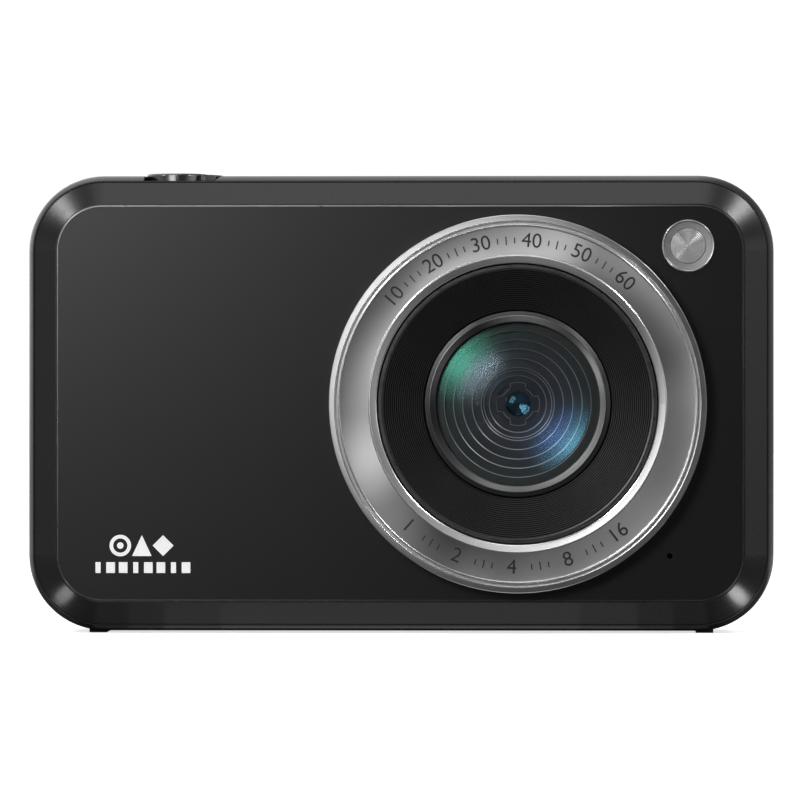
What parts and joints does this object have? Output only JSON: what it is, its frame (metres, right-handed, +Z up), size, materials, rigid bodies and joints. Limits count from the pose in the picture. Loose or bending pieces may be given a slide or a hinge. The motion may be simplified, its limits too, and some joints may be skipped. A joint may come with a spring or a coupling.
{
  "type": "compact digital camera",
  "caption": "Slim dark digital camera with a fixed lens in a bright ring, a flash, a rear screen and keys, a zoom ring and a hinged battery door.",
  "frame": {"origin": "middle of the base, on the surface that the feet stand on", "axes": "+X to the right of someone facing the lens, +Y from front to back, +Z up"},
  "size_m": [0.104, 0.0242, 0.0643],
  "materials": {
    "cover": "satin dark grey paint",
    "panel": "satin black panel",
    "bright_ring": "spun and lacquered",
    "bezel": "fine ribs, black",
    "gunmetal": "dark anodised",
    "lens_glass": "coated clear glass",
    "flash_ring": "satin",
    "flash_glass": "ringed clear lens",
    "reflector": "mirror coated",
    "board": "green solder mask",
    "chip": "black package",
    "thin_metal": "bare sheet and wire",
    "copper": "enamelled wire",
    "shutter": "polished",
    "keys": "satin black",
    "screen_glass": "black-backed clear sheet",
    "screen": "dark",
    "light_pipe": "clear",
    "battery": "foil label over a can",
    "inner_plastic": "black",
    "latch": "orange",
    "card": "black",
    "steel": "plated",
    "foot": "matt"
  },
  "bodies": {
    "case": {"front_cover": "cover", "front_panel": "panel", "mid_frame": "cover", "rear_cover": "cover", "lens_trim_ring": "bright_ring", "ribbed_bezel": "bezel", "lens_inner_ring": "gunmetal", "lens_window": "lens_glass", "baffle_cone": "bezel", "af_housing": "chip", "ir_filter": "lens_glass", "image_sensor": "chip", "camera_board": "board", "flash_trim_ring": "flash_ring", "flash_lens": "flash_glass", "flash_reflector": "reflector", "flash_led": "chip", "microphone": "thin_metal", "zoom_spring": "thin_metal", "shutter_spring": "thin_metal", "top_switch_board": "board", "tact_switches": "chip", "screen_window": "screen_glass", "screen_panel": "screen", "screen_frame": "thin_metal", "main_board": "board", "shield_can": "thin_metal", "key_board": "board", "key_domes": "thin_metal", "status_light_pipe": "light_pipe", "battery": "battery", "battery_tray": "inner_plastic", "battery_contacts": "thin_metal", "door_hinge_pin": "steel", "card_socket": "thin_metal", "usb_socket": "thin_metal", "speaker": "thin_metal", "tripod_bush": "steel", "strap_bar": "steel", "feet": "foot", "screws": "steel"},
    "focus_group": {"lens_barrel": "bezel", "af_coil": "copper", "lens_elements": "lens_glass"},
    "zoom_ring": {"zoom_ring": "cover"},
    "shutter_button": {"shutter_button": "shutter"},
    "power_button": {"power_button": "keys"},
    "nav_up": {"nav_up": "keys"},
    "nav_down": {"nav_down": "keys"},
    "nav_left": {"nav_left": "keys"},
    "nav_right": {"nav_right": "keys"},
    "ok_button": {"ok_button": "keys"},
    "menu_button": {"menu_button": "keys"},
    "mode_button": {"mode_button": "keys"},
    "play_button": {"play_button": "keys"},
    "delete_button": {"delete_button": "keys"},
    "battery_latch": {"battery_latch": "latch"},
    "battery_door": {"battery_door": "cover", "door_snap_clip": "thin_metal"},
    "memory_card": {"memory_card": "card"}
  },
  "joints": [
    {"name": "focus", "type": "slide", "parent": "case", "child": "focus_group", "axis": [0, -1, 0], "range_m": [0, 0.00025], "stiffness_N_per_m": 60},
    {"name": "zoom_turn", "type": "hinge", "parent": "case", "child": "zoom_ring", "pos_m": [-0.0314, -0.00093, 0.0628], "axis": [0, 0, 1], "range_deg": [-20, 20], "stiffness_Nm_per_rad": 0.02, "deforming": ["zoom_spring"]},
    {"name": "shutter_press", "type": "slide", "parent": "case", "child": "shutter_button", "axis": [0, 0, -1], "range_m": [0, 0.0008], "stiffness_N_per_m": 400, "springref_m": -0.0005, "deforming": ["shutter_spring"]},
    {"name": "power_press", "type": "slide", "parent": "case", "child": "power_button", "axis": [0, 0, -1], "range_m": [0, 0.00035], "stiffness_N_per_m": 500, "springref_m": -0.0005},
    {"name": "nav_up_press", "type": "slide", "parent": "case", "child": "nav_up", "axis": [0, -1, 0], "range_m": [0, 0.00035], "stiffness_N_per_m": 500, "springref_m": -0.0005},
    {"name": "nav_down_press", "type": "slide", "parent": "case", "child": "nav_down", "axis": [0, -1, 0], "range_m": [0, 0.00035], "stiffness_N_per_m": 500, "springref_m": -0.0005},
    {"name": "nav_left_press", "type": "slide", "parent": "case", "child": "nav_left", "axis": [0, -1, 0], "range_m": [0, 0.00035], "stiffness_N_per_m": 500, "springref_m": -0.0005},
    {"name": "nav_right_press", "type": "slide", "parent": "case", "child": "nav_right", "axis": [0, -1, 0], "range_m": [0, 0.00035], "stiffness_N_per_m": 500, "springref_m": -0.0005},
    {"name": "ok_press", "type": "slide", "parent": "case", "child": "ok_button", "axis": [0, -1, 0], "range_m": [0, 0.00035], "stiffness_N_per_m": 500, "springref_m": -0.0005},
    {"name": "menu_press", "type": "slide", "parent": "case", "child": "menu_button", "axis": [0, -1, 0], "range_m": [0, 0.00035], "stiffness_N_per_m": 500, "springref_m": -0.0005},
    {"name": "mode_press", "type": "slide", "parent": "case", "child": "mode_button", "axis": [0, -1, 0], "range_m": [0, 0.00035], "stiffness_N_per_m": 500, "springref_m": -0.0005},
    {"name": "play_press", "type": "slide", "parent": "case", "child": "play_button", "axis": [0, -1, 0], "range_m": [0, 0.00035], "stiffness_N_per_m": 500, "springref_m": -0.0005},
    {"name": "delete_press", "type": "slide", "parent": "case", "child": "delete_button", "axis": [0, -1, 0], "range_m": [0, 0.00035], "stiffness_N_per_m": 500, "springref_m": -0.0005},
    {"name": "latch_slide", "type": "slide", "parent": "case", "child": "battery_latch", "axis": [1, 0, 0], "range_m": [0, 0.0015], "stiffness_N_per_m": 200, "springref_m": -0.0005},
    {"name": "battery_door_swing", "type": "hinge", "parent": "case", "child": "battery_door", "pos_m": [-0.021, 0.00502, 0.00155], "axis": [1, 0, 0], "range_deg": [0, 90], "deforming": ["door_snap_clip"]},
    {"name": "card_slide", "type": "slide", "parent": "case", "child": "memory_card", "axis": [1, 0, 0], "range_m": [-0.0008, 0.013]}
  ]
}
